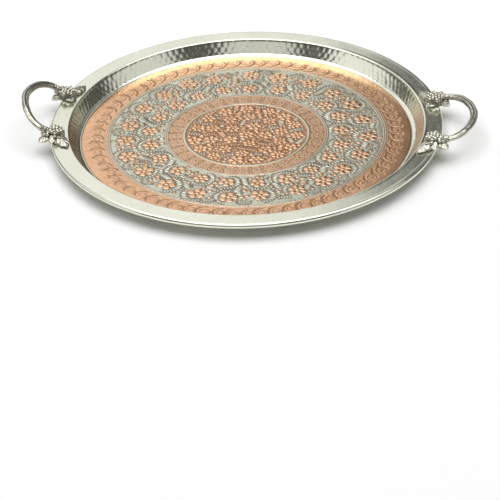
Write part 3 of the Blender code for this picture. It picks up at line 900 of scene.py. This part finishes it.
TENDRILS = (
    dict(centre=(7.6, -6.4, 3.6), reach=3.0, turns=1.3, thick=0.75, start=2.4),
    dict(centre=(-8.5, 4.0, 3.0), reach=2.6, turns=1.2, thick=0.75, start=0.2),
)
BERRIES = ((3.5, 6.0, 6.0, 1.9), (6.6, 4.6, 5.0, 1.7), (-3.6, 8.4, 5.2, 1.7), (-7.8, 8.2, 4.2, 1.4))
VOXEL = 0.24


def make_mount_master(tilt):
    """A rear mount on the right-hand side: leaves, grapes and a vine end cast in one."""
    shape = bmesh.new()
    for leaf in LEAVES:
        add_leaf(shape, GAP, **leaf)
    add_core(shape)
    add_grapes(shape)
    add_collar(shape, tilt)
    for curl in TENDRILS:
        add_curl(shape, **curl)
    for *centre, radius in BERRIES:
        add_ball(shape, centre, radius)
    bmesh.ops.recalc_face_normals(shape, faces=shape.faces)
    shape.transform(Matrix.Translation((MOUNT_X, MOUNT_Y, FLANGE_TOP)))
    shape.transform(Matrix.Scale(MM, 4))
    mesh = bpy.data.meshes.new("mount_master")
    shape.to_mesh(mesh)
    shape.free()
    master = show("mount_master", mesh)
    remesh = master.modifiers.new("fuse", "REMESH")
    remesh.mode = "VOXEL"
    remesh.voxel_size = VOXEL * MM
    remesh.use_smooth_shade = True
    smooth = master.modifiers.new("soften", "SMOOTH")
    smooth.factor = 0.5
    smooth.iterations = 1
    settle(master)
    flatten_foot(master.data)
    drill(master, (SCREW_X, SCREW_Y, FLANGE_TOP - 2.0), (0, 0, 1), SCREW_HOLE_RADIUS, SCREW_HOLE_DEPTH + 2.0)
    plane = bow_plane(tilt)
    start = plane @ Vector((BOW_START - PIN_LENGTH - 2 * GAP, MOUNT_Y, 0))
    axis = plane.to_3x3() @ Vector((1, 0, 0))
    drill(master, start, axis, PIN_RADIUS + GAP, PIN_LENGTH + 2.0)
    return master


def flatten_foot(mesh):
    """The casting's foot lies level on the flange, a gap above it."""
    foot = (FLANGE_TOP + GAP) * MM
    for vertex in mesh.vertices:
        vertex.co.z = max(vertex.co.z, foot)


def settle(obj):
    """The object's modifiers are worked into its mesh."""
    graph = bpy.context.evaluated_depsgraph_get()
    mesh = bpy.data.meshes.new_from_object(obj.evaluated_get(graph))
    obj.modifiers.clear()
    obj.data = mesh


def drill(obj, start, axis, radius, depth):
    """A blind round hole."""
    shape = bmesh.new()
    matrix = Vector((0, 0, 1)).rotation_difference(Vector(axis)).to_matrix().to_4x4()
    centre = Vector(start) + Vector(axis) * depth / 2
    add_cone(shape, Matrix.Identity(4), radius, radius, depth)
    shape.transform(Matrix.Scale(MM, 4) @ Matrix.Translation(centre) @ matrix)
    mesh = bpy.data.meshes.new("drill")
    shape.to_mesh(mesh)
    shape.free()
    tool = show("drill", mesh)
    cut = obj.modifiers.new("hole", "BOOLEAN")
    cut.operation = "DIFFERENCE"
    cut.object = tool
    settle(obj)
    bpy.data.objects.remove(tool, do_unlink=True)


def make_mounts(side, tilt, turn):
    """A handle's rear mount as modelled or mirrored, and its mirror image in front of it."""
    master = make_mount_master(tilt)
    mirror = Matrix.Scale(-1, 4, Vector((0, 1, 0)))
    as_modelled, mirrored = ("rear", "front") if turn == 0 else ("front", "rear")
    mounts = {}
    for end, matrix in ((as_modelled, Matrix.Identity(4)), (mirrored, mirror)):
        mesh = master.data.copy()
        mesh.transform(handle_place(turn) @ matrix)
        if matrix.determinant() < 0:
            mesh.flip_normals()
        mesh.shade_smooth()
        mesh.set_sharp_from_angle(angle=math.radians(60))
        add_hollows(mesh, 5)
        mounts[f"{side}_{end}_mount"] = show(f"cast_{side}_{end}_mount", mesh)
    bpy.data.objects.remove(master, do_unlink=True)
    return mounts


# --- materials


class Nodes:
    """A node material, built up by short calls."""

    def __init__(self, name):
        self.material = bpy.data.materials.new(name)
        self.material.use_nodes = True
        self.tree = self.material.node_tree
        self.shader = self.tree.nodes["Principled BSDF"]
        self.place = self.node("ShaderNodeTexCoord").outputs["Object"]

    def node(self, kind, **settings):
        made = self.tree.nodes.new(kind)
        for key, value in settings.items():
            setattr(made, key, value)
        return made

    def feed(self, socket, value):
        if isinstance(value, bpy.types.NodeSocket):
            self.tree.links.new(value, socket)
        else:
            socket.default_value = value

    def value(self, name):
        return self.node("ShaderNodeAttribute", attribute_name=name).outputs["Fac"]

    def noise(self, scale, detail=3.0, roughness=0.55, distortion=0.0, stretch=(1, 1, 1)):
        mapping = self.node("ShaderNodeMapping")
        mapping.inputs["Scale"].default_value = stretch
        self.feed(mapping.inputs["Vector"], self.place)
        made = self.node("ShaderNodeTexNoise")
        self.feed(made.inputs["Vector"], mapping.outputs["Vector"])
        made.inputs["Scale"].default_value = scale
        made.inputs["Detail"].default_value = detail
        made.inputs["Roughness"].default_value = roughness
        made.inputs["Distortion"].default_value = distortion
        return made.outputs["Fac"]

    def set(self, name, value):
        self.feed(self.shader.inputs[name], value)

    def remap(self, value, from_low, from_high, to_low=0.0, to_high=1.0):
        made = self.node("ShaderNodeMapRange")
        self.feed(made.inputs["Value"], value)
        names = ("From Min", "From Max", "To Min", "To Max")
        for name, number in zip(names, (from_low, from_high, to_low, to_high)):
            made.inputs[name].default_value = number
        return made.outputs["Result"]

    def maths(self, operation, one, two):
        made = self.node("ShaderNodeMath", operation=operation)
        self.feed(made.inputs[0], one)
        self.feed(made.inputs[1], two)
        return made.outputs["Value"]

    def blend(self, share, one, two):
        made = self.node("ShaderNodeMix", data_type="RGBA")
        self.feed(made.inputs["Factor"], share)
        self.feed(made.inputs["A"], one)
        self.feed(made.inputs["B"], two)
        return made.outputs["Result"]

    def bump(self, height, distance, strength=1.0):
        made = self.node("ShaderNodeBump")
        made.inputs["Distance"].default_value = distance
        made.inputs["Strength"].default_value = strength
        self.feed(made.inputs["Height"], height)
        self.set("Normal", made.outputs["Normal"])


def colour(red, green, blue):
    """A colour as it is seen, from 0 to 255, turned into linear light."""
    linear = []
    for channel in (red, green, blue):
        share = channel / 255
        linear.append(share / 12.92 if share <= 0.04045 else ((share + 0.055) / 1.055) ** 2.4)
    return (*linear, 1.0)


def chased_copper():
    """Copper and tin with brown patina in the cuts, and plain dull tin below."""
    nodes = Nodes("chased_copper")
    tin, dark, under = (nodes.value(name) for name in ("tin", "dark", "under"))
    cloud = nodes.noise(22.0, 4.0, 0.6)
    speck = nodes.noise(900.0, 2.0, 0.6)
    fine = nodes.noise(260.0, 3.0, 0.6)
    copper = nodes.blend(nodes.remap(cloud, 0.35, 0.65), colour(238, 192, 154), colour(228, 180, 138))
    copper = nodes.blend(nodes.remap(fine, 0.45, 0.75, 0.0, 0.55), copper, colour(200, 150, 116))
    pale = nodes.blend(nodes.remap(cloud, 0.35, 0.65), colour(216, 219, 202), colour(203, 208, 190))
    pale = nodes.blend(nodes.remap(fine, 0.5, 0.8, 0.0, 0.5), pale, colour(184, 180, 160))
    metal = nodes.blend(tin, copper, pale)
    worn = nodes.maths("MULTIPLY", dark, nodes.remap(speck, 0.3, 0.7, 0.80, 1.0))
    patina = nodes.blend(nodes.remap(fine, 0.35, 0.65), colour(110, 76, 56), colour(84, 62, 48))
    seen = nodes.blend(worn, metal, patina)
    dull = nodes.blend(nodes.remap(cloud, 0.3, 0.7), colour(188, 184, 170), colour(170, 158, 142))
    nodes.set("Base Color", nodes.blend(under, seen, dull))
    nodes.set("Metallic", nodes.remap(dark, 0.0, 1.0, 1.0, 0.45))
    rough = nodes.remap(dark, 0.0, 1.0, 0.19, 0.58)
    nodes.set("Roughness", nodes.maths("ADD", rough, nodes.remap(fine, 0.3, 0.7, -0.03, 0.06)))
    nodes.bump(nodes.maths("ADD", speck, nodes.remap(fine, 0.0, 1.0, 0.0, 1.5)), 0.00006, 0.6)
    return nodes.material


def silvered(name, tint, shade, rough_low, rough_high):
    """Warm silvery plate with faint clouds and hairline marks."""
    nodes = Nodes(name)
    cloud = nodes.noise(14.0, 4.0, 0.55)
    fine = nodes.noise(380.0, 3.0, 0.6)
    hair = nodes.noise(60.0, 6.0, 0.75, distortion=1.5)
    base = nodes.blend(nodes.remap(cloud, 0.35, 0.65), tint, shade)
    base = nodes.blend(nodes.remap(fine, 0.55, 0.85, 0.0, 0.35), base, colour(176, 170, 150))
    nodes.set("Base Color", base)
    nodes.set("Metallic", 1.0)
    rough = nodes.remap(hair, 0.3, 0.7, rough_low, rough_high)
    nodes.set("Roughness", rough)
    nodes.bump(nodes.maths("ADD", fine, hair), 0.00003, 0.5)
    return nodes.material


def cast_silver():
    """Cast plate, bright where it is rubbed and dark in its hollows."""
    nodes = Nodes("cast_silver")
    hollow = nodes.value("hollow")
    cloud = nodes.noise(60.0, 3.0, 0.6)
    pits = nodes.noise(900.0, 3.0, 0.65)
    base = nodes.blend(nodes.remap(cloud, 0.35, 0.65), colour(214, 212, 198), colour(186, 183, 168))
    stain = nodes.maths("ADD", nodes.remap(hollow, -0.008, 0.036), nodes.remap(pits, 0.62, 0.8, 0.0, 0.35))
    base = nodes.blend(nodes.remap(stain, 0.0, 1.0, 0.0, 0.92), base, colour(48, 46, 38))
    nodes.set("Base Color", base)
    nodes.set("Metallic", nodes.remap(stain, 0.0, 1.0, 1.0, 0.6))
    nodes.set("Roughness", nodes.remap(stain, 0.0, 1.0, 0.27, 0.60))
    nodes.bump(pits, 0.00005, 0.6)
    return nodes.material


def plated_steel(name, tint, shade):
    """Fasteners and wire: grey plate with fine drawn streaks."""
    nodes = Nodes(name)
    streak = nodes.noise(700.0, 4.0, 0.6, stretch=(1, 1, 0.2))
    cloud = nodes.noise(240.0, 2.0, 0.5)
    nodes.set("Base Color", nodes.blend(cloud, tint, shade))
    nodes.set("Metallic", 1.0)
    nodes.set("Roughness", nodes.remap(streak, 0.3, 0.7, 0.24, 0.46))
    nodes.bump(streak, 0.00002, 0.5)
    return nodes.material


def dress(obj, material):
    """Gives a CAD node its finish without touching its mesh."""
    if not obj.material_slots:
        obj.data.materials.append(material)
    for place in obj.material_slots:
        place.material = material


# --- studio


def aim(obj, target, roll=0.0):
    direction = Vector(target) - obj.location
    turn = direction.to_track_quat("-Z", "Y").to_matrix().to_4x4()
    obj.rotation_euler = (turn @ Matrix.Rotation(roll, 4, "Z")).to_euler()


def add_camera():
    data = bpy.data.cameras.new("camera")
    data.lens = 166.0
    data.sensor_width = 36.0
    data.clip_end = 50.0
    camera = bpy.data.objects.new("camera", data)
    bpy.context.scene.collection.objects.link(camera)
    camera.location = (0.1896 + PAN_X * MM, -1.8342, 1.0541)
    aim(camera, (0.0198 + PAN_X * MM, -0.1972, 0.0011), math.radians(-2.0))
    bpy.context.scene.camera = camera


def add_lamp(name, centre, target, width, height, radiance, tint=(1, 1, 1)):
    """A flat soft lamp, as bright as a white sheet lit to that radiance."""
    data = bpy.data.lights.new(name, "AREA")
    data.shape = "RECTANGLE"
    data.size = width
    data.size_y = height
    data.energy = radiance * math.pi * width * height
    data.color = tint
    lamp = bpy.data.objects.new(name, data)
    bpy.context.scene.collection.objects.link(lamp)
    lamp.location = centre
    aim(lamp, target)


def add_studio():
    """A pale floor, a dark surround and large soft lamps."""
    mesh = bpy.data.meshes.new("studio_floor")
    half = 6.0
    corners = [(-half, -half, 0), (half, -half, 0), (half, half, 0), (-half, half, 0)]
    mesh.from_pydata(corners, [], [(0, 1, 2, 3)])
    floor = show("studio_floor", mesh)
    floor.location.z = -0.0002
    nodes = Nodes("pale_floor")
    grain = nodes.noise(3.0, 2.0)
    nodes.set("Base Color", nodes.blend(grain, colour(250, 250, 250), colour(246, 246, 247)))
    nodes.set("Roughness", 0.9)
    mesh.materials.append(nodes.material)
    world = bpy.data.worlds.new("studio")
    world.use_nodes = True
    world.node_tree.nodes["Background"].inputs["Color"].default_value = (0.07, 0.07, 0.065, 1.0)
    bpy.context.scene.world = world
    add_lamp("back_left", (-1.6, 2.6, 2.0), (-1.6, 0.0, 2.0), 3.2, 2.5, 0.90)
    add_lamp("back_right", (1.75, 2.6, 1.8), (1.75, 0.0, 1.8), 2.2, 1.6, 0.20)
    add_lamp("top", (0.0, 0.2, 2.6), (0.0, 0.2, 0.0), 3.4, 3.2, 2.5)
    add_lamp("left", (-2.4, -0.2, 1.6), (0.0, -0.2, 1.6), 2.8, 2.0, 0.9)
    add_lamp("right", (2.4, -0.4, 1.5), (0.0, -0.4, 1.5), 2.4, 1.6, 0.7)
    add_lamp("front", (-0.3, -3.2, 2.7), (0.0, 0.0, 0.0), 3.4, 1.7, 0.62)
    bpy.context.scene.view_settings.view_transform = "Standard"


# --- assembly


def main():
    add_camera()
    floor = make_floor()
    rim = make_rim()
    floor.data.materials.append(chased_copper())
    tinned = silvered("tinned_sheet", colour(240, 240, 224), colour(230, 231, 214), 0.15, 0.24)
    rim.data.materials.append(tinned)
    for piece in (floor, rim):
        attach(piece, "root")
        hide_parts("tray_pan")
    silver = cast_silver()
    for side, tilt, turn in (("right", RIGHT_TILT, 0.0), ("left", LEFT_TILT, math.pi)):
        castings = make_mounts(side, tilt, turn)
        castings[f"{side}_handle_bow"] = make_bow(f"vine_{side}_handle_bow", tilt, turn)
        for name, casting in castings.items():
            casting.data.materials.append(silver)
            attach(casting, "root")
            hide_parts(name)
    steel = plated_steel("plated_steel", colour(190, 190, 186), colour(160, 160, 158))
    wire = plated_steel("edge_wire", colour(150, 150, 146), colour(120, 118, 112))
    for name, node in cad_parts.items():
        if name.endswith(("_screw", "_washer")):
            dress(node, steel)
    dress(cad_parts["rim_wire"], wire)
    add_studio()


main()
